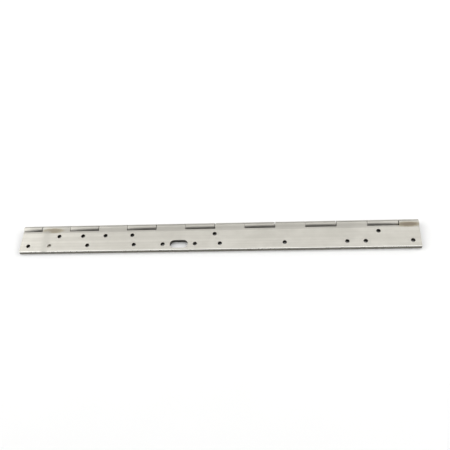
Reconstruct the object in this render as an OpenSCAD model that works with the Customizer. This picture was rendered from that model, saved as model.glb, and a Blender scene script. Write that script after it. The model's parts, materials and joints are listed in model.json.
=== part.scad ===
// Heavy continuous ("piano") hinge, fully swaged, shown closed.
// +X runs along the barrel, the leaves reach towards -Y, and the barrel is the lowest point.
// The origin is the centre of the bottom of the closed hinge's box.
// Positions along the hinge are measured from its left end, which is the -X end.

/* [Hinge] */
// Length of both leaves and of the barrel
hinge_length = 676.3; // [676:0.1:680]
// Width of one leaf, from the pin's axis to its free edge
leaf_reach = 47.6; // [46:0.1:60]
// Distance from one knuckle joint to the next
knuckle_pitch = 50.8; // [50.4:0.1:50.8]
// Length of the first knuckle, which belongs to the lower leaf
first_knuckle = 34.2; // [33:0.1:36]
// Mean gap along the pin between neighbouring knuckles
knuckle_gap = 0.8; // [0.4:0.1:1.2]
// Share of that gap by which the lower leaf's knuckles sit nearer the left end
end_float = 0.5; // [0:0.1:0.6]

/* [Strip] */
// Thickness of the leaf strip and of the knuckle walls
strip_t = 3.05; // [2.8:0.05:3.2]
// Gap between the two leaves when closed
leaf_gap = 0.25; // [0.2:0.05:0.5]
// Slope of the ramp on which the strip climbs from the leaf to the barrel, in degrees
ramp_angle = 20; // [16:1:25]
// Radius of the bend at the foot of the ramp, on the leaf's outer face
bend_r = 6; // [4:0.5:8]
// Radius of the rolled edge along the free side of each leaf's outer face
edge_r = 1.8; // [0.5:0.1:2.2]
// Radius of the two outer corners of each leaf
corner_r = 2.2; // [1:0.1:4]
// Clearance between a leaf's notches and the other leaf's knuckles
notch_clearance = 0.3; // [0.2:0.05:0.5]

/* [Pin] */
// Diameter of the hinge pin
pin_d = 6.35; // [6:0.05:6.5]
// Radial clearance between the pin and the knuckle bores
bore_clearance = 0.08; // [0.03:0.01:0.1]
// How far each end of the pin stops short of the barrel's end
pin_recess = 0.4; // [0:0.1:2]
// Slit left in each knuckle's surface where the curled strip comes back to its own ramp
seam_w = 0.5; // [0.3:0.1:0.8]
// Length of each weld that closes a seam onto the pin
weld_length = 25; // [10:1:28]

/* [Holes] */
// Diameter of the fixing holes
hole_d = 7.1; // [5:0.1:8]
// Distance from the free edge to the outer row of holes
outer_row = 12.7; // [10:0.1:14]
// Distance from the free edge to the inner row of holes
inner_row = 31.7; // [28:0.1:33]
// Length of the slot, end to end
slot_length = 30.7; // [20:0.1:36]
// Width of the slot
slot_width = 15; // [10:0.1:18]
// Distance from the left end to the slot's centre
slot_at = 278.7; // [274:0.1:282]

/* [Hidden] */
$fn = 96;
through = 1;
bend_steps = 8;
// How far past the ramp's tangent point the seam opens, in degrees, and how far a weld bites into its sides
seam_root = 30;
weld_bite = 0.15;

// Holes through both leaves, from the left end
outer_holes = [14.3, 119.7, 201.2, 251.1, 306.2, 348.4, 456.5, 558.3, 588, 663.2];
inner_holes = [66.6, 109.1, 149.2, 196.3, 338.8, 610.1];
// The upper leaf's outer row has one more hole, over the lower leaf's plain face
upper_only_hole = 52.1;

knuckles = 14;
bore_r = pin_d / 2 + bore_clearance;
barrel_r = bore_r + strip_t;
axis_y = (leaf_reach - barrel_r) / 2;
axis_z = barrel_r;
left_end = -hinge_length / 2;
// Heights of a leaf's inner and outer faces, and the line of its notches, all from the pin's axis
inner_z = leaf_gap / 2;
outer_z = inner_z + strip_t;
notch_y = -(barrel_r + notch_clearance);
// The strip leaves the barrel on a tangent, and a bend brings it down to the leaf at foot_y
foot_y = -(barrel_r + bend_r - (outer_z + bend_r) * cos(ramp_angle)) / sin(ramp_angle);
// Direction from the pin's axis to the end face of the curl, and how much of a turn a weld bites into it
curl_end = 90 + ramp_angle + acos(bore_r / barrel_r) + seam_w / barrel_r * 180 / PI;
bite_turn = weld_bite / barrel_r * 180 / PI;

// Joint number i between knuckles, from the left end; joint 0 and joint 14 are the ends of the hinge
function joint_at(i) =
    i == 0 ? 0 : i == knuckles ? hinge_length : first_knuckle + (i - 1) * knuckle_pitch;
// The lower leaf owns the even knuckles, which its end float carries to the left
function float_of(i) = i % 2 == 0 ? knuckle_gap * end_float : 0;
function knuckle_start(i) = joint_at(i) + (i == 0 ? 0 : knuckle_gap / 2 - float_of(i));
function knuckle_end(i) = joint_at(i + 1) - (i == knuckles - 1 ? 0 : knuckle_gap / 2 + float_of(i));

// The point at distance r from the pin's axis where the ramp's slope is tangent, moved s down the ramp
function on_ramp(r, s) =
    [-r * sin(ramp_angle) - s * cos(ramp_angle), r * cos(ramp_angle) - s * sin(ramp_angle)];
function polar(r, turn) = [r * cos(turn), r * sin(turn)];
// The bend at radius r from its centre, above the foot of the ramp
function bend(r, start, end) =
    [for (k = [0 : bend_steps]) [foot_y, outer_z + bend_r] + polar(r, start + (end - start) * k / bend_steps)];

// Carries children, drawn as a (Y, Z) section about the pin's axis, along X from start to end
module along_hinge(start, end) {
    translate([left_end + start, axis_y, axis_z])
        rotate([90, 0, 90])
            linear_extrude(end - start) children();
}

// The strip from its free edge over the bend and up the ramp, with its last corners inside a knuckle's wall
module strip_outline() {
    polygon(concat(
        [[-leaf_reach, outer_z], [-leaf_reach, inner_z]],
        bend(bend_r + strip_t, -90, -90 + ramp_angle),
        [on_ramp(bore_r, -strip_t / 2), on_ramp(barrel_r, 0)],
        bend(bend_r, -90 + ramp_angle, -90)
    ));
}

// One leaf's strip as far as its notches, with the rolled edge on the outer side
module strip_section() {
    difference() {
        strip_outline();
        translate([notch_y, -barrel_r]) square(2 * barrel_r + through);
        translate([-leaf_reach, outer_z])
            difference() {
                square(2 * edge_r, center = true);
                translate([edge_r, -edge_r]) circle(edge_r);
            }
    }
}

// A knuckle curled from the strip, with the seam between its end face and the underside of the ramp
module knuckle_section() {
    difference() {
        union() {
            difference() {
                circle(barrel_r);
                polygon([
                    [0, 0],
                    polar(2 * barrel_r, 90 + ramp_angle + seam_root),
                    polar(2 * barrel_r, curl_end),
                ]);
            }
            difference() {
                strip_outline();
                translate([-leaf_reach - through, -through])
                    square([leaf_reach + notch_y, barrel_r + 2 * through]);
            }
        }
        circle(bore_r);
    }
}

// The wedge of weld in a seam, biting into the ramp, the curl's end face and the pin
module weld_section() {
    weld_r = bore_r + weld_bite;
    difference() {
        intersection() {
            circle(barrel_r);
            polygon([
                [0, 0],
                on_ramp(weld_r, weld_r * tan(seam_root - bite_turn)),
                on_ramp(weld_r, barrel_r),
                polar(2 * barrel_r, curl_end + bite_turn),
            ]);
        }
        circle(pin_d / 2 - weld_bite);
    }
}

// What is cut away at an outer corner; side is -1 at the left end and 1 at the right end
module corner_cut(side) {
    translate([side * hinge_length / 2, axis_y - leaf_reach, -through])
        linear_extrude(2 * axis_z + 2 * through)
            difference() {
                square(2 * corner_r, center = true);
                translate([-side * corner_r, corner_r]) circle(corner_r);
            }
}

// A straight hole down through the leaves
module fixing_hole(at, row) {
    translate([left_end + at, axis_y - leaf_reach + row, -through])
        cylinder(d = hole_d, h = 2 * axis_z + 2 * through);
}

module slot_cut() {
    straight = slot_length - slot_width;
    translate([left_end + slot_at, axis_y - leaf_reach + outer_row, -through])
        linear_extrude(2 * axis_z + 2 * through) {
            square([straight, slot_width], center = true);
            for (side = [-1, 1]) translate([side * straight / 2, 0]) circle(d = slot_width);
        }
}

// One leaf as it lies on top; first is the number of its first knuckle, and it owns every second one
module leaf(first) {
    difference() {
        union() {
            along_hinge(0, hinge_length) strip_section();
            for (i = [first : 2 : knuckles - 1])
                along_hinge(knuckle_start(i), knuckle_end(i)) knuckle_section();
        }
        for (side = [-1, 1]) corner_cut(side);
        for (at = outer_holes) fixing_hole(at, outer_row);
        for (at = inner_holes) fixing_hole(at, inner_row);
        slot_cut();
    }
}

module upper_leaf() {
    color([0.8, 0.79, 0.76])
        difference() {
            leaf(1);
            fixing_hole(upper_only_hole, outer_row);
        }
}

// The same leaf turned over about the pin's axis, with the other set of knuckles
module lower_leaf() {
    color([0.76, 0.75, 0.73])
        translate([0, 0, 2 * axis_z]) mirror([0, 0, 1]) leaf(0);
}

module hinge_pin() {
    color([0.7, 0.7, 0.7])
        along_hinge(pin_recess, hinge_length - pin_recess) circle(d = pin_d);
}

// A weld that fills the upper leaf's seam over the middle of knuckle i and fixes it to the pin
module seam_weld(i) {
    middle = (knuckle_start(i) + knuckle_end(i)) / 2;
    color([0.6, 0.53, 0.42])
        along_hinge(middle - weld_length / 2, middle + weld_length / 2) weld_section();
}

module left_seam_weld() {
    seam_weld(1);
}

module right_seam_weld() {
    seam_weld(knuckles - 1);
}

upper_leaf();
lower_leaf();
hinge_pin();
left_seam_weld();
right_seam_weld();
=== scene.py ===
"""Looks of a heavy continuous hinge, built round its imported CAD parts.

Lengths are in metres. Sections are drawn in (y, z) about the pin's axis, as the upper leaf lies on top,
and the lower leaf is the same section turned over.
"""

import json
import math

import bmesh
import bpy
from mathutils import Matrix, Vector


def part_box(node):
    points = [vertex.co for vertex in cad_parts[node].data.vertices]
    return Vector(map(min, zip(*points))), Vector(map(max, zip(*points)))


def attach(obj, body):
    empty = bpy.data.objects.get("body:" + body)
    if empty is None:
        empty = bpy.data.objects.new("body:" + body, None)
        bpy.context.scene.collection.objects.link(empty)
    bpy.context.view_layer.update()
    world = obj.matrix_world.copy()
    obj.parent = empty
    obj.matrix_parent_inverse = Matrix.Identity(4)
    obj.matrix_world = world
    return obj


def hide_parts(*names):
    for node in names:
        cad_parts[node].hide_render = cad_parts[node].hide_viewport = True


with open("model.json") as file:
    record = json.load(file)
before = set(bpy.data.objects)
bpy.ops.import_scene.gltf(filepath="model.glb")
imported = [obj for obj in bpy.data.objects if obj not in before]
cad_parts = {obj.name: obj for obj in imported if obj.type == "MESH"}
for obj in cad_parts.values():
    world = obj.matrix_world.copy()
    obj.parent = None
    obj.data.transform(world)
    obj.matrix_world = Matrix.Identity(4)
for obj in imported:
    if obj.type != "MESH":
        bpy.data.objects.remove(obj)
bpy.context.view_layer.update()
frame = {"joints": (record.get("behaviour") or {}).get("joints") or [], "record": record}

MM = 0.001

# ---------------------------------------------------------------- sizes from the frame
joint = frame["joints"][0]
AXIS = Vector(joint["pos_m"])
leaf_low, leaf_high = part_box("upper_leaf")
pin_low, pin_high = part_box("hinge_pin")
LEFT = leaf_low.x
RIGHT = leaf_high.x
FREE_EDGE = leaf_low.y - AXIS.y
BARREL_R = AXIS.z
PIN_R = (pin_high.z - pin_low.z) / 2
face_mounts = {m["name"]: Vector(m["pos_m"]) for m in frame["record"]["mounts"]}
OUTER_Z = face_mounts["upper_leaf_face"].z - AXIS.z
SLOT_LOW, SLOT_HIGH = [Vector(c) for c in frame["record"]["physics"]["openings"][0]["box_m"]]

# ---------------------------------------------------------------- driving sizes
# Angles are in degrees, apart from RAMP, which is in radians
STRIP = 3.05 * MM
BORE_R = BARREL_R - STRIP
RAMP = math.radians(20)
BEND_R = 6 * MM
EDGE_R = 1.8 * MM
CORNER_R = 2.2 * MM
SEAM = 0.5 * MM
NOTCH_GAP = 0.3 * MM
KNUCKLES = 14
PITCH = 50.8 * MM
FIRST_KNUCKLE = 34.2 * MM
KNUCKLE_GAP = 0.8 * MM
END_FLOAT = 0.4 * MM
SLOT_LENGTH = 30.7 * MM
SLOT_WIDTH = 15 * MM
DEBURR = 0.22 * MM
DEBURR_STEPS = 2
SHARP_EDGE = 34
ARC_STEP = 3.75
# A knuckle's ends are rounded by this much, and those at the ends of the hinge by more
KNUCKLE_ROUND = 0.5 * MM
END_ROUND = 1.1 * MM
ROUND_TURNS = (0, 30, 60, 90)
# How far past the ramp's top the rounding takes to reach its full depth
ROUND_BLEND = 25
# Positions of holes are compared to this many decimal places of a metre
POSITION_DIGITS = 6

INNER_Z = OUTER_Z - STRIP
NOTCH_Y = -(BARREL_R + NOTCH_GAP)
SEAM_ROOT = 30
RAMP_TURN = 90 + math.degrees(RAMP)
CURL_END = RAMP_TURN + math.degrees(math.acos(BORE_R / BARREL_R) + SEAM / BARREL_R)
FOOT_Y = -(BARREL_R + BEND_R - (OUTER_Z + BEND_R) * math.cos(RAMP)) / math.sin(RAMP)
BEND_CENTRE = (FOOT_Y, OUTER_Z + BEND_R)
THROUGH = 2 * BARREL_R


# ---------------------------------------------------------------- sections
def arc(centre, radius, start, end):
    """Points (y, z) along an arc from one angle to another, in degrees from +Y towards +Z."""
    steps = max(2, round(abs(end - start) / ARC_STEP))
    points = []
    for i in range(steps + 1):
        a = math.radians(start + (end - start) * i / steps)
        points.append((centre[0] + radius * math.cos(a), centre[1] + radius * math.sin(a)))
    return points


def on_ramp(r, down):
    """The point at distance r from the axis where the ramp's slope is tangent, moved down the ramp."""
    return (
        -r * math.sin(RAMP) - down * math.cos(RAMP),
        r * math.cos(RAMP) - down * math.sin(RAMP),
    )


def ramp_at_notch(r):
    """Where the ramp's face at distance r from the axis meets the line of the notches."""
    return on_ramp(r, (-NOTCH_Y - r * math.sin(RAMP)) / math.cos(RAMP))


def strip_chain():
    """The strip's outline, from the inner end of the notch line round the free edge to the outer end."""
    slope = math.degrees(RAMP)
    inner_bend = arc(BEND_CENTRE, BEND_R + STRIP, -90 + slope, -90)
    rolled = arc((FREE_EDGE + EDGE_R, OUTER_Z - EDGE_R), EDGE_R, 180, 90)
    outer_bend = arc(BEND_CENTRE, BEND_R, -90, -90 + slope)
    start, end = ramp_at_notch(BORE_R), ramp_at_notch(BARREL_R)
    return [start] + inner_bend + [(FREE_EDGE, INNER_Z)] + rolled + outer_bend + [end]


def knuckle_chain(inset):
    """A knuckle's outline, from the top of the ramp over the barrel to the seam and back round the bore.

    The barrel is drawn in by the inset, fading out towards the ramp.
    """
    seam_root = RAMP_TURN + SEAM_ROOT
    barrel = []
    for y, z in arc((0, 0), BARREL_R, RAMP_TURN, CURL_END - 360):
        past = (RAMP_TURN - math.degrees(math.atan2(z, y))) % 360
        share = 1 - inset / BARREL_R * min(1.0, past / ROUND_BLEND)
        barrel.append((y * share, z * share))
    bore = arc((0, 0), BORE_R, CURL_END - 360, seam_root)
    return barrel + bore + [on_ramp(BORE_R, BORE_R * math.tan(math.radians(SEAM_ROOT)))]


def joint_at(i):
    """Distance from the left end to joint i between knuckles; 0 and KNUCKLES are the hinge's ends."""
    if i == 0:
        return 0.0
    if i == KNUCKLES:
        return RIGHT - LEFT
    return FIRST_KNUCKLE + (i - 1) * PITCH


def knuckle_span(i):
    """Where knuckle i starts and ends along X; end float carries the even ones to the left."""
    shift = END_FLOAT if i % 2 == 0 else 0.0
    start = joint_at(i) + (KNUCKLE_GAP / 2 - shift if i > 0 else 0)
    end = joint_at(i + 1) - (KNUCKLE_GAP / 2 + shift if i < KNUCKLES - 1 else 0)
    return LEFT + start, LEFT + end


def knuckle_stations(span):
    """Each place along X where a knuckle has a ring, with how far its barrel is drawn in there."""
    rounds = [END_ROUND if x in (LEFT, RIGHT) else KNUCKLE_ROUND for x in span]
    found = {}
    for x, side, radius in zip(span, (1, -1), rounds):
        for turn in ROUND_TURNS:
            a = math.radians(turn)
            found[x + side * radius * (1 - math.cos(a))] = radius * (1 - math.sin(a))
    return found


# ---------------------------------------------------------------- mesh helpers
# Face classes: plain faces; cut faces, darkened partly as painted shade; rubbed rims, whose bright colour
# also serves as painted light in one hole
FACE, CUT_AND_SHADED, RUBBED_AND_LIT = range(3)


def new_piece(name, bm, smooth=True):
    """A mesh object made from a bmesh, with its normals facing out."""
    bmesh.ops.recalc_face_normals(bm, faces=bm.faces)
    for face in bm.faces:
        face.smooth = smooth
    mesh = bpy.data.meshes.new(name)
    bm.to_mesh(mesh)
    bm.free()
    piece = bpy.data.objects.new(name, mesh)
    bpy.context.scene.collection.objects.link(piece)
    return piece


def bake_modifiers(piece):
    """Replaces a piece's mesh with what its modifiers make of it."""
    depsgraph = bpy.context.evaluated_depsgraph_get()
    made = bpy.data.meshes.new_from_object(piece.evaluated_get(depsgraph))
    piece.modifiers.clear()
    piece.data = made
    made.name = piece.name


def cut(piece, cutter):
    """Takes the cutter's solid out of the piece."""
    modifier = piece.modifiers.new("cut", "BOOLEAN")
    modifier.operation = "DIFFERENCE"
    modifier.solver = "EXACT"
    modifier.object = cutter
    modifier.material_mode = "INDEX"
    bake_modifiers(piece)
    bpy.data.objects.remove(cutter)


def deburr(piece, width):
    """Rounds every sharp edge a little, and gives the rounds the worn material."""
    modifier = piece.modifiers.new("deburr", "BEVEL")
    modifier.limit_method = "ANGLE"
    modifier.angle_limit = math.radians(SHARP_EDGE)
    modifier.width = width
    modifier.segments = DEBURR_STEPS
    modifier.harden_normals = True
    modifier.use_clamp_overlap = True
    modifier.material = RUBBED_AND_LIT
    bake_modifiers(piece)


def place(section_point, x, turn):
    """A section point in the frame; turn is 1 for the upper leaf and -1 for the lower one."""
    return Vector((x, AXIS.y + section_point[0], AXIS.z + turn * section_point[1]))


# ---------------------------------------------------------------- the leaves
def leaf_body(name, first, turn):
    """The strip with every second knuckle from number first, before anything is drilled."""
    bm = bmesh.new()
    strip = strip_chain()
    owned = [knuckle_stations(knuckle_span(i)) for i in range(first, KNUCKLES, 2)]
    stations = sorted({LEFT, RIGHT}.union(*owned))
    strip_rings = []
    for x in stations:
        strip_rings.append([bm.verts.new(place(p, x, turn)) for p in strip])

    def wall(a, b, material=FACE):
        """Quads between two chains of corners."""
        for k in range(len(a) - 1):
            face = bm.faces.new((a[k], a[k + 1], b[k + 1], b[k]))
            face.material_index = material

    knuckle_rings = {}
    for insets in owned:
        for x, inset in insets.items():
            side = strip_rings[stations.index(x)]
            corners = [bm.verts.new(place(p, x, turn)) for p in knuckle_chain(inset)]
            knuckle_rings[x] = [side[-1]] + corners + [side[0]]
        for x in (min(insets), max(insets)):
            bm.faces.new(knuckle_rings[x]).material_index = CUT_AND_SHADED
    for s in range(len(stations) - 1):
        left, right = stations[s], stations[s + 1]
        a, b = strip_rings[s], strip_rings[s + 1]
        wall(a, b)
        if any(left in insets and right in insets for insets in owned):
            wall(knuckle_rings[left], knuckle_rings[right])
        else:
            wall((a[-1], a[0]), (b[-1], b[0]), CUT_AND_SHADED)
    for ring in (strip_rings[0], strip_rings[-1]):
        bm.faces.new(ring).material_index = CUT_AND_SHADED
    return new_piece(name, bm)


def prism(bm, outline, low, high, material=CUT_AND_SHADED):
    """Adds a solid with that (x, y) outline, between two heights."""
    bottom = [bm.verts.new((x, y, low)) for x, y in outline]
    top = [bm.verts.new((x, y, high)) for x, y in outline]
    faces = [bm.faces.new(bottom), bm.faces.new(top)]
    for k in range(len(outline)):
        n = (k + 1) % len(outline)
        faces.append(bm.faces.new((bottom[k], bottom[n], top[n], top[k])))
    for face in faces:
        face.material_index = material


def hole_centres(leaf):
    """The centres (x, y) and the radius of a leaf's fixing holes, from the record's bolt patterns."""
    found = {}
    for mount in frame["record"]["mounts"]:
        if mount["kind"] == "bolt_pattern" and mount["name"].startswith(leaf):
            x, y, _ = mount["pos_m"]
            half = mount["dims"]["spacing_x_mm"] * MM / 2
            for side in (-1, 1):
                centre = (round(x + side * half, POSITION_DIGITS), round(y, POSITION_DIGITS))
                found[centre] = mount["dims"]["hole_r_mm"] * MM
    return found


def leaf_cutter(leaf):
    """Everything drilled, punched or ground away from a leaf.

    A hole in the upper leaf alone has bright walls, painted light; the other cut walls are dark, partly
    painted shade.
    """
    bm = bmesh.new()
    low, high = AXIS.z - THROUGH, AXIS.z + THROUGH
    shared = hole_centres("lower")
    for (x, y), radius in sorted(hole_centres(leaf).items()):
        # Shared holes get the dark cut walls, partly painted shade; a hole in the upper leaf alone gets
        # bright walls as painted light
        walls = CUT_AND_SHADED if (x, y) in shared else RUBBED_AND_LIT
        prism(bm, arc((x, y), radius, 0, 360)[:-1], low, high, walls)
    middle = (SLOT_LOW + SLOT_HIGH) / 2
    reach = (SLOT_LENGTH - SLOT_WIDTH) / 2
    right = arc((middle.x + reach, middle.y), SLOT_WIDTH / 2, -90, 90)
    left = arc((middle.x - reach, middle.y), SLOT_WIDTH / 2, 90, 270)
    prism(bm, right + left, low, high)
    for x, side in ((LEFT, -1), (RIGHT, 1)):
        corner = (x, AXIS.y + FREE_EDGE)
        turning = (x - side * CORNER_R, corner[1] + CORNER_R)
        round_off = arc(turning, CORNER_R, -90, -90 + side * 90)
        outside = [(x + side * CORNER_R, turning[1]), (x + side * CORNER_R, corner[1] - CORNER_R)]
        outside.append((turning[0], corner[1] - CORNER_R))
        prism(bm, round_off + outside, low, high)
    return new_piece(leaf + "_cutter", bm)


def make_leaf(node, leaf, first, turn):
    """One leaf, drilled and deburred, with every second knuckle from number first."""
    piece = leaf_body(node + "_steel", first, turn)
    cutter = leaf_cutter(leaf)
    for made in (piece, cutter):
        for material in (STEEL_FACE, STEEL_CUT_AND_SHADED, STEEL_RUBBED_AND_LIT):
            made.data.materials.append(material)
    cut(piece, cutter)
    deburr(piece, DEBURR)
    return piece


# ---------------------------------------------------------------- the pin and the welds
PIN_CHAMFER = 0.5 * MM
PIN_SIDES = 72
# The dish's depth at its middle, its depth part of the way out, and where that is as a share of the radius
PIN_DISH = 0.12 * MM
PIN_DISH_SIDE = 0.08 * MM
PIN_DISH_SHARE = 0.45


def make_pin():
    """A drawn wire with chamfered ends and a shallow dish where it was sheared."""
    profile = [
        (pin_low.x + PIN_DISH, 0.0),
        (pin_low.x + PIN_DISH_SIDE, PIN_R * PIN_DISH_SHARE),
        (pin_low.x, PIN_R - PIN_CHAMFER),
        (pin_low.x + PIN_CHAMFER, PIN_R),
    ]
    middle = (pin_low.x + pin_high.x) / 2
    profile += [(2 * middle - x, r) for x, r in reversed(profile)]
    bm = bmesh.new()
    rings = []
    for x, r in profile:
        if r == 0:
            rings.append([bm.verts.new((x, AXIS.y, AXIS.z))])
            continue
        turns = [2 * math.pi * k / PIN_SIDES for k in range(PIN_SIDES)]
        corners = [(x, AXIS.y + r * math.cos(t), AXIS.z + r * math.sin(t)) for t in turns]
        rings.append([bm.verts.new(corner) for corner in corners])
    for a, b in zip(rings, rings[1:]):
        for k in range(PIN_SIDES):
            n = (k + 1) % PIN_SIDES
            corners = [a[k % len(a)], a[n % len(a)], b[n % len(b)], b[k % len(b)]]
            bm.faces.new(list(dict.fromkeys(corners)))
    return new_piece("pin_wire", bm)


RIPPLE = 1.9 * MM
RIPPLE_DEPTH = 0.16 * MM
WELD_BITE = 0.12 * MM
BEAD_STEPS = 160
# How abruptly a bead's crown sinks at its two ends
BEAD_END_POWER = 16


def make_weld(node):
    """A rippled bead that fills the wedge of a knuckle's seam, a little below the barrel's surface."""
    low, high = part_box(node)
    bite_turn = math.degrees(WELD_BITE / BARREL_R)
    weld_r = BORE_R + WELD_BITE
    top_turn = RAMP_TURN + math.degrees(math.acos(weld_r / (BARREL_R - RIPPLE_DEPTH)))
    root_turn = RAMP_TURN + SEAM_ROOT
    root_r = PIN_R - WELD_BITE
    bm = bmesh.new()
    rings = []
    for step in range(BEAD_STEPS + 1):
        share = step / BEAD_STEPS
        x = low.x + share * (high.x - low.x)
        run = (x - low.x) / RIPPLE
        ripple_height = 1 - (run - math.floor(run)) ** 2
        taper = math.sqrt(max(0.0, 1 - (2 * share - 1) ** BEAD_END_POWER))
        crown = BARREL_R - RIPPLE_DEPTH * (2 - ripple_height * taper)
        ring = arc((0, 0), crown, top_turn, CURL_END + bite_turn)
        ring += arc((0, 0), root_r, CURL_END + bite_turn, root_turn)
        ring.append(on_ramp(weld_r, weld_r * math.tan(math.radians(SEAM_ROOT))))
        rings.append([bm.verts.new(place(p, x, 1)) for p in ring])
    for a, b in zip(rings, rings[1:]):
        for k in range(len(a)):
            n = (k + 1) % len(a)
            bm.faces.new((a[k], a[n], b[n], b[k]))
    bm.faces.new(rings[0])
    bm.faces.new(rings[-1])
    return new_piece(node + "_bead", bm)


# ---------------------------------------------------------------- materials
def new_material(name, roughness, metallic=1.0):
    """A material and its node tree, with a plain metal shader to build on."""
    material = bpy.data.materials.new(name)
    material.use_nodes = True
    tree = material.node_tree
    shader = tree.nodes["Principled BSDF"]
    shader.inputs["Metallic"].default_value = metallic
    shader.inputs["Roughness"].default_value = roughness
    return material, tree, shader


def feed(tree, socket, value):
    """Links a socket into another, or sets a plain value."""
    if isinstance(value, bpy.types.NodeSocket):
        tree.links.new(value, socket)
    else:
        socket.default_value = value


def maths(tree, operation, *values):
    """A sum, product or other operation on sockets and plain values."""
    node = tree.nodes.new("ShaderNodeMath")
    node.operation = operation
    for socket, value in zip(node.inputs, values):
        feed(tree, socket, value)
    return node.outputs[0]


def place_in_frame(tree):
    """Where a point of the surface is in the frame, at rest."""
    return tree.nodes.new("ShaderNodeTexCoord").outputs["Object"]


def noise(tree, stretch, detail=3.0, roughness=0.55, seed=0.0):
    """Noise from 0 to 1; stretch is how many features there are in a metre along X, Y and Z."""
    mapping = tree.nodes.new("ShaderNodeMapping")
    tree.links.new(place_in_frame(tree), mapping.inputs["Vector"])
    mapping.inputs["Scale"].default_value = stretch
    mapping.inputs["Location"].default_value = (seed, seed * 1.7, seed * 0.6)
    node = tree.nodes.new("ShaderNodeTexNoise")
    node.inputs["Scale"].default_value = 1.0
    node.inputs["Detail"].default_value = detail
    node.inputs["Roughness"].default_value = roughness
    tree.links.new(mapping.outputs["Vector"], node.inputs["Vector"])
    return node.outputs["Fac"]


def span(tree, value, low, high, to_low=0.0, to_high=1.0):
    """Carries a value from one range to another, smoothly and without overshoot."""
    node = tree.nodes.new("ShaderNodeMapRange")
    node.interpolation_type = "SMOOTHSTEP"
    feed(tree, node.inputs["Value"], value)
    for socket, number in zip(node.inputs[1:5], (low, high, to_low, to_high)):
        socket.default_value = number
    return node.outputs["Result"]


def blend_colour(tree, share, first, second):
    """A blend of two colours; share is how much of the second there is."""
    node = tree.nodes.new("ShaderNodeMix")
    node.data_type = "RGBA"
    feed(tree, node.inputs["Factor"], share)
    for socket, colour in ((node.inputs["A"], first), (node.inputs["B"], second)):
        if isinstance(colour, bpy.types.NodeSocket):
            tree.links.new(colour, socket)
        else:
            socket.default_value = (*colour, 1)
    return node.outputs["Result"]


def ripple(tree, shader, height, distance, strength):
    """Bump from a height socket."""
    node = tree.nodes.new("ShaderNodeBump")
    node.inputs["Strength"].default_value = strength
    node.inputs["Distance"].default_value = distance
    tree.links.new(height, node.inputs["Height"])
    tree.links.new(node.outputs["Normal"], shader.inputs["Normal"])


def patch(tree, centre, radii, seed):
    """1 at a point of the frame, fading to 0 at the given distances from it, with an uneven rim."""
    offset = tree.nodes.new("ShaderNodeVectorMath")
    offset.operation = "SUBTRACT"
    tree.links.new(place_in_frame(tree), offset.inputs[0])
    offset.inputs[1].default_value = centre
    scaled = tree.nodes.new("ShaderNodeVectorMath")
    scaled.operation = "DIVIDE"
    tree.links.new(offset.outputs[0], scaled.inputs[0])
    scaled.inputs[1].default_value = radii
    length = tree.nodes.new("ShaderNodeVectorMath")
    length.operation = "LENGTH"
    tree.links.new(scaled.outputs[0], length.inputs[0])
    uneven = maths(tree, "SUBTRACT", noise(tree, (300, 500, 500), seed=seed), 0.5)
    rim = maths(tree, "MULTIPLY", uneven, FRAY)
    return span(tree, maths(tree, "ADD", length.outputs["Value"], rim), 0.15, 1.0, 1.0, 0.0)


LIGHT_STEEL = (0.520, 0.504, 0.458)
DARK_STEEL = (0.455, 0.440, 0.397)
# Brighter than any steel: a painted highlight on the burnished free edge
POLISH_HIGHLIGHT_STEEL = (0.81, 0.80, 0.75)
# Painted shade on the free edge's upright faces
EDGE_SHADE_STEEL = (0.20, 0.19, 0.16)
STRAW = (0.35, 0.31, 0.22)
BROWN = (0.175, 0.14, 0.11)
# A painted reflection: the darker band across the leaf near its left end
STREAK_REFLECTION_STEEL = (0.425, 0.413, 0.374)
# Cut faces, darkened to near black partly as painted shade
CUT_AND_SHADED_DARK = (0.045, 0.042, 0.036)
CUT_AND_SHADED_LIGHT = (0.09, 0.086, 0.074)
# Rubbed rims; also painted light on the walls of the hole in the upper leaf alone
RUBBED_AND_LIT_DARK = (0.50, 0.48, 0.44)
RUBBED_AND_LIT_LIGHT = (0.74, 0.72, 0.67)
WIRE_CLEAN = (0.50, 0.49, 0.47)
WIRE_OILY = (0.36, 0.34, 0.30)
BEAD_GREY = (0.20, 0.19, 0.20)
BEAD_STRAW = (0.40, 0.33, 0.24)
BEAD_BROWN = (0.24, 0.19, 0.14)
PAPER_DARK = (0.90, 0.90, 0.895)
PAPER_LIGHT = (0.93, 0.93, 0.925)

# How far a heat tint reaches, how far it lies down the ramp and along the hinge from its weld,
# and how much brown it has at its middle
HEAT_REACH = Vector((27, 6.4, 7)) * MM
HEAT_DOWN = 3.0 * MM
HEAT_SHIFT = {"left_seam_weld": -5.6 * MM, "right_seam_weld": -1.5 * MM}
HEAT_DEPTH = {"left_seam_weld": 0.35, "right_seam_weld": 0.6}
# How far the uneven rim of a tint or of the painted reflection band wanders, as a share of its reach
FRAY = 0.35
# Where the painted reflection band lies from the left end, and how far it reaches
STREAK_REFLECTION_AT = 44 * MM
STREAK_REFLECTION_REACH = Vector((10, 60, 3)) * MM
# Distances from the free edge: where the burnish and its painted highlight start to fade and are gone, and
# the same for the painted shade on the edge's upright faces
POLISH_HIGHLIGHT_FULL = 1.6 * MM
POLISH_HIGHLIGHT_END = 2.9 * MM
EDGE_SHADE_FULL = 2.0 * MM
EDGE_SHADE_END = 2.2 * MM


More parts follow.
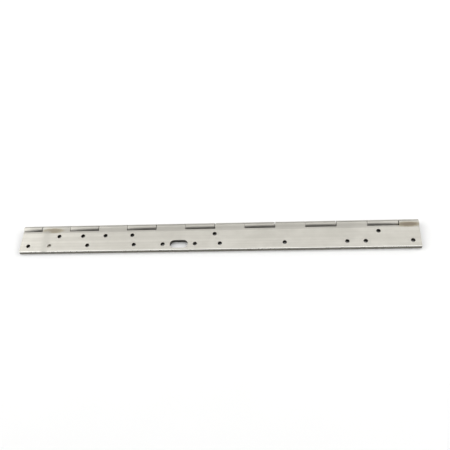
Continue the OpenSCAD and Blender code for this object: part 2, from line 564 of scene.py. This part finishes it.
def steel_face():
    """Rolled steel: lengthwise grain, faint clouding, heat tints, a burnished free edge whose bright colour
    is a painted highlight, painted shade on the free edge's upright faces, and a painted reflection as a
    darker band across the leaf.
    """
    material, tree, shader = new_material("rolled_steel", roughness=0.36)
    grain = noise(tree, (14, 2600, 2600), detail=2)
    streaks = noise(tree, (1.6, 210, 210), detail=4, seed=3)
    clouds = noise(tree, (16, 22, 22), detail=3, seed=7)
    marks = noise(tree, (95, 130, 130), detail=5, roughness=0.62, seed=11)
    tone = maths(tree, "MULTIPLY", maths(tree, "ADD", streaks, clouds), 0.5)
    colour = blend_colour(tree, span(tree, tone, 0.38, 0.62), DARK_STEEL, LIGHT_STEEL)
    scuffs = span(tree, marks, 0.56, 0.78, 0.0, 0.35)
    colour = blend_colour(tree, scuffs, colour, DARK_STEEL)

    place_xyz = tree.nodes.new("ShaderNodeSeparateXYZ")
    tree.links.new(place_in_frame(tree), place_xyz.inputs[0])
    edge_y = AXIS.y + FREE_EDGE
    # Burnished free edge: the lower roughness is the polish, the bright colour is a painted highlight
    polish_and_highlight = span(tree, place_xyz.outputs["Y"], edge_y + POLISH_HIGHLIGHT_FULL, edge_y + POLISH_HIGHLIGHT_END, 1.0, 0.0)
    colour = blend_colour(tree, polish_and_highlight, colour, POLISH_HIGHLIGHT_STEEL)
    # Painted shade: faces near the free edge that stand upright are darkened
    normal = tree.nodes.new("ShaderNodeSeparateXYZ")
    tree.links.new(tree.nodes.new("ShaderNodeTexCoord").outputs["Normal"], normal.inputs[0])
    shade_on_upright = span(tree, maths(tree, "ABSOLUTE", normal.outputs["Z"]), 0.35, 0.80, 1.0, 0.0)
    at_edge = span(tree, place_xyz.outputs["Y"], edge_y + EDGE_SHADE_FULL, edge_y + EDGE_SHADE_END, 1.0, 0.0)
    colour = blend_colour(tree, maths(tree, "MULTIPLY", shade_on_upright, at_edge), colour, EDGE_SHADE_STEEL)

    for seed, node in enumerate(("left_seam_weld", "right_seam_weld")):
        low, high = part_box(node)
        centre = place(on_ramp(BARREL_R, HEAT_DOWN), (low.x + high.x) / 2 + HEAT_SHIFT[node], 1)
        heat = patch(tree, centre, HEAT_REACH, seed=20 + seed)
        straw = span(tree, heat, 0.05, 0.55, 0.0, 0.5 + 0.5 * HEAT_DEPTH[node])
        colour = blend_colour(tree, straw, colour, STRAW)
        colour = blend_colour(tree, span(tree, heat, 0.4, 0.95, 0.0, HEAT_DEPTH[node]), colour, BROWN)
    # Painted reflection: a darker band across the leaf near the left end
    reflection_streak_centre = place((FREE_EDGE / 2, OUTER_Z), LEFT + STREAK_REFLECTION_AT, 1)
    reflection_streak = patch(tree, reflection_streak_centre, STREAK_REFLECTION_REACH, seed=31)
    colour = blend_colour(tree, reflection_streak, colour, STREAK_REFLECTION_STEEL)

    tree.links.new(colour, shader.inputs["Base Color"])
    marked = span(tree, marks, 0.3, 0.7, 0.30, 0.38)
    rough = maths(tree, "ADD", marked, maths(tree, "MULTIPLY", grain, 0.06))
    rough = maths(tree, "SUBTRACT", rough, maths(tree, "MULTIPLY", polish_and_highlight, 0.08))
    tree.links.new(rough, shader.inputs["Roughness"])
    ripple(tree, shader, grain, distance=0.006 * MM, strength=0.6)
    return material


def steel_cut_and_shaded():
    """Sheared and drilled faces: their own duller cut steel, darkened to near black as painted shade, with
    fine lines across the strip's thickness.
    """
    material, tree, shader = new_material("cut_steel_and_painted_shade", roughness=0.5)
    lines = noise(tree, (1500, 1500, 120), detail=3, seed=5)
    colour = blend_colour(tree, span(tree, lines, 0.35, 0.65), CUT_AND_SHADED_DARK, CUT_AND_SHADED_LIGHT)
    tree.links.new(colour, shader.inputs["Base Color"])
    tree.links.new(span(tree, lines, 0.3, 0.7, 0.42, 0.6), shader.inputs["Roughness"])
    ripple(tree, shader, lines, distance=0.03 * MM, strength=0.5)
    return material


def steel_rubbed_and_lit():
    """Rubbed corners, brighter and smoother than the faces beside them; on the walls of a hole in the upper
    leaf alone the same colour is painted light.
    """
    material, tree, shader = new_material("rubbed_steel_and_painted_light", roughness=0.32)
    wear = noise(tree, (260, 260, 260), detail=4, seed=9)
    colour = blend_colour(tree, span(tree, wear, 0.35, 0.65), RUBBED_AND_LIT_DARK, RUBBED_AND_LIT_LIGHT)
    tree.links.new(colour, shader.inputs["Base Color"])
    tree.links.new(span(tree, wear, 0.3, 0.7, 0.26, 0.4), shader.inputs["Roughness"])
    return material


def pin_wire():
    """Drawn wire: lengthwise draw lines, a little oil."""
    material, tree, shader = new_material("drawn_wire", roughness=0.3)
    draw = noise(tree, (9, 3000, 3000), detail=2, seed=2)
    stain = noise(tree, (60, 200, 200), detail=3, seed=4)
    colour = blend_colour(tree, span(tree, stain, 0.35, 0.7), WIRE_CLEAN, WIRE_OILY)
    tree.links.new(colour, shader.inputs["Base Color"])
    tree.links.new(span(tree, stain, 0.3, 0.7, 0.24, 0.4), shader.inputs["Roughness"])
    ripple(tree, shader, draw, distance=0.006 * MM, strength=0.5)
    return material


def weld_metal():
    """A bead with bands of grey, straw and brown, and pitting."""
    material, tree, shader = new_material("weld_metal", roughness=0.5, metallic=0.9)
    bands = noise(tree, (420, 160, 160), detail=3, seed=6)
    pits = noise(tree, (2600, 2600, 2600), detail=3, seed=8)
    colour = blend_colour(tree, span(tree, bands, 0.3, 0.5), BEAD_GREY, BEAD_STRAW)
    colour = blend_colour(tree, span(tree, bands, 0.55, 0.75), colour, BEAD_BROWN)
    tree.links.new(colour, shader.inputs["Base Color"])
    tree.links.new(span(tree, pits, 0.3, 0.7, 0.38, 0.62), shader.inputs["Roughness"])
    ripple(tree, shader, pits, distance=0.05 * MM, strength=0.5)
    return material


def floor_paper():
    """Plain pale paper with the faintest unevenness."""
    material, tree, shader = new_material("pale_paper", roughness=0.85, metallic=0.0)
    fibre = noise(tree, (6, 6, 6), detail=2, seed=1)
    colour = blend_colour(tree, fibre, PAPER_DARK, PAPER_LIGHT)
    tree.links.new(colour, shader.inputs["Base Color"])
    shader.inputs["Specular IOR Level"].default_value = 0.2
    return material


STEEL_FACE = steel_face()
STEEL_CUT_AND_SHADED = steel_cut_and_shaded()
STEEL_RUBBED_AND_LIT = steel_rubbed_and_lit()

# ---------------------------------------------------------------- the pieces
upper = make_leaf("upper_leaf", "upper", 1, 1)
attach(upper, "upper")
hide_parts("upper_leaf")

lower = make_leaf("lower_leaf", "lower", 0, -1)
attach(lower, "lower")
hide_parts("lower_leaf")

pin = make_pin()
pin.data.materials.append(pin_wire())
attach(pin, "upper")
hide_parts("hinge_pin")

weld_material = weld_metal()
for weld_node in ("left_seam_weld", "right_seam_weld"):
    bead = make_weld(weld_node)
    bead.data.materials.append(weld_material)
    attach(bead, "upper")
    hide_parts(weld_node)

# ---------------------------------------------------------------- floor
FLOOR_HALF = 2.4


def make_floor():
    """A flat sheet under the closed hinge, which touches the barrel and the lower leaf's rolled edge."""
    reach = Vector((FREE_EDGE + EDGE_R, -(OUTER_Z - EDGE_R)))
    tilt = math.asin((BARREL_R - EDGE_R) / reach.length) - math.atan2(-reach.y, -reach.x)
    down = Vector((0, -math.sin(tilt), -math.cos(tilt)))
    touch = AXIS + down * BARREL_R
    bm = bmesh.new()
    bmesh.ops.create_grid(bm, x_segments=8, y_segments=8, size=FLOOR_HALF)
    sheet = new_piece("floor", bm, smooth=False)
    sheet.rotation_euler = (-tilt, 0, 0)
    sheet.location = touch
    sheet.data.materials.append(floor_paper())


make_floor()

# ---------------------------------------------------------------- camera
AIM = Vector((17.50, 21.89, 9.48)) * MM
CAMERA_AZIMUTH = 11.0
CAMERA_ELEVATION = 56.0
CAMERA_ROLL = -10.284
CAMERA_DISTANCE = 1019.33 * MM
CAMERA_LENS = 47.854
SENSOR_WIDTH = 36


def make_camera():
    """The camera, looking at AIM from its azimuth and elevation and turned by its roll."""
    turn = Matrix.Rotation(math.radians(CAMERA_AZIMUTH), 4, "Z")
    raise_by = Matrix.Rotation(math.radians(90 - CAMERA_ELEVATION), 4, "X")
    roll = Matrix.Rotation(math.radians(CAMERA_ROLL), 4, "Z")
    data = bpy.data.cameras.new("camera")
    data.lens = CAMERA_LENS
    data.sensor_width = SENSOR_WIDTH
    camera = bpy.data.objects.new("camera", data)
    bpy.context.scene.collection.objects.link(camera)
    back = turn @ raise_by @ Vector((0, 0, CAMERA_DISTANCE, 1))
    camera.matrix_world = Matrix.Translation(AIM + back.to_3d()) @ turn @ raise_by @ roll
    bpy.context.scene.camera = camera


make_camera()


# ---------------------------------------------------------------- light
def softbox(name, elevation, distance, width, depth, radiance, lean=0.0):
    """A rectangular light aimed at the origin.

    Elevation runs from 0 at the front over 90 to 180 at the back, and lean tips the light towards +X.
    """
    turn = Matrix.Rotation(math.radians(lean), 4, "Y")
    e = math.radians(elevation)
    towards = turn @ Vector((0, -math.cos(e), math.sin(e)))
    data = bpy.data.lights.new(name, "AREA")
    data.shape = "RECTANGLE"
    data.size = width
    data.size_y = depth
    data.energy = radiance * math.pi * width * depth
    lamp = bpy.data.objects.new(name, data)
    bpy.context.scene.collection.objects.link(lamp)
    lamp.location = towards * distance
    across = turn @ Vector((1, 0, 0))
    upwards = towards.cross(across)
    facing = Matrix((across, upwards, towards)).transposed().to_4x4()
    lamp.matrix_world = Matrix.Translation(lamp.location) @ facing


SIDE_LEAN = 67

softbox("key", elevation=122, distance=1.9, width=3.6, depth=0.75, radiance=1.5)
softbox("top", elevation=91, distance=2.0, width=3.6, depth=1.4, radiance=1.0)
softbox("back", elevation=166, distance=2.6, width=4.5, depth=1.2, radiance=0.9)
for light, lean in (("side_left", -SIDE_LEAN), ("side_right", SIDE_LEAN)):
    softbox(light, elevation=90, distance=2.4, width=2.4, depth=4.2, radiance=1.9, lean=lean)

WALLS = 0.13
WALLS_SEEN = 0.92


def make_world():
    """Even studio walls: dim where the hinge mirrors them, pale where they are seen."""
    world = bpy.data.worlds.new("studio")
    world.use_nodes = True
    tree = world.node_tree
    tree.nodes.clear()
    output = tree.nodes.new("ShaderNodeOutputWorld")
    walls = tree.nodes.new("ShaderNodeBackground")
    walls.inputs["Color"].default_value = (WALLS, WALLS, WALLS, 1)
    seen = tree.nodes.new("ShaderNodeBackground")
    seen.inputs["Color"].default_value = (WALLS_SEEN, WALLS_SEEN, WALLS_SEEN, 1)
    mix = tree.nodes.new("ShaderNodeMixShader")
    path = tree.nodes.new("ShaderNodeLightPath")
    tree.links.new(path.outputs["Is Camera Ray"], mix.inputs["Fac"])
    tree.links.new(walls.outputs[0], mix.inputs[1])
    tree.links.new(seen.outputs[0], mix.inputs[2])
    tree.links.new(mix.outputs[0], output.inputs["Surface"])
    bpy.context.scene.world = world


make_world()
bpy.context.scene.view_settings.view_transform = "Standard"
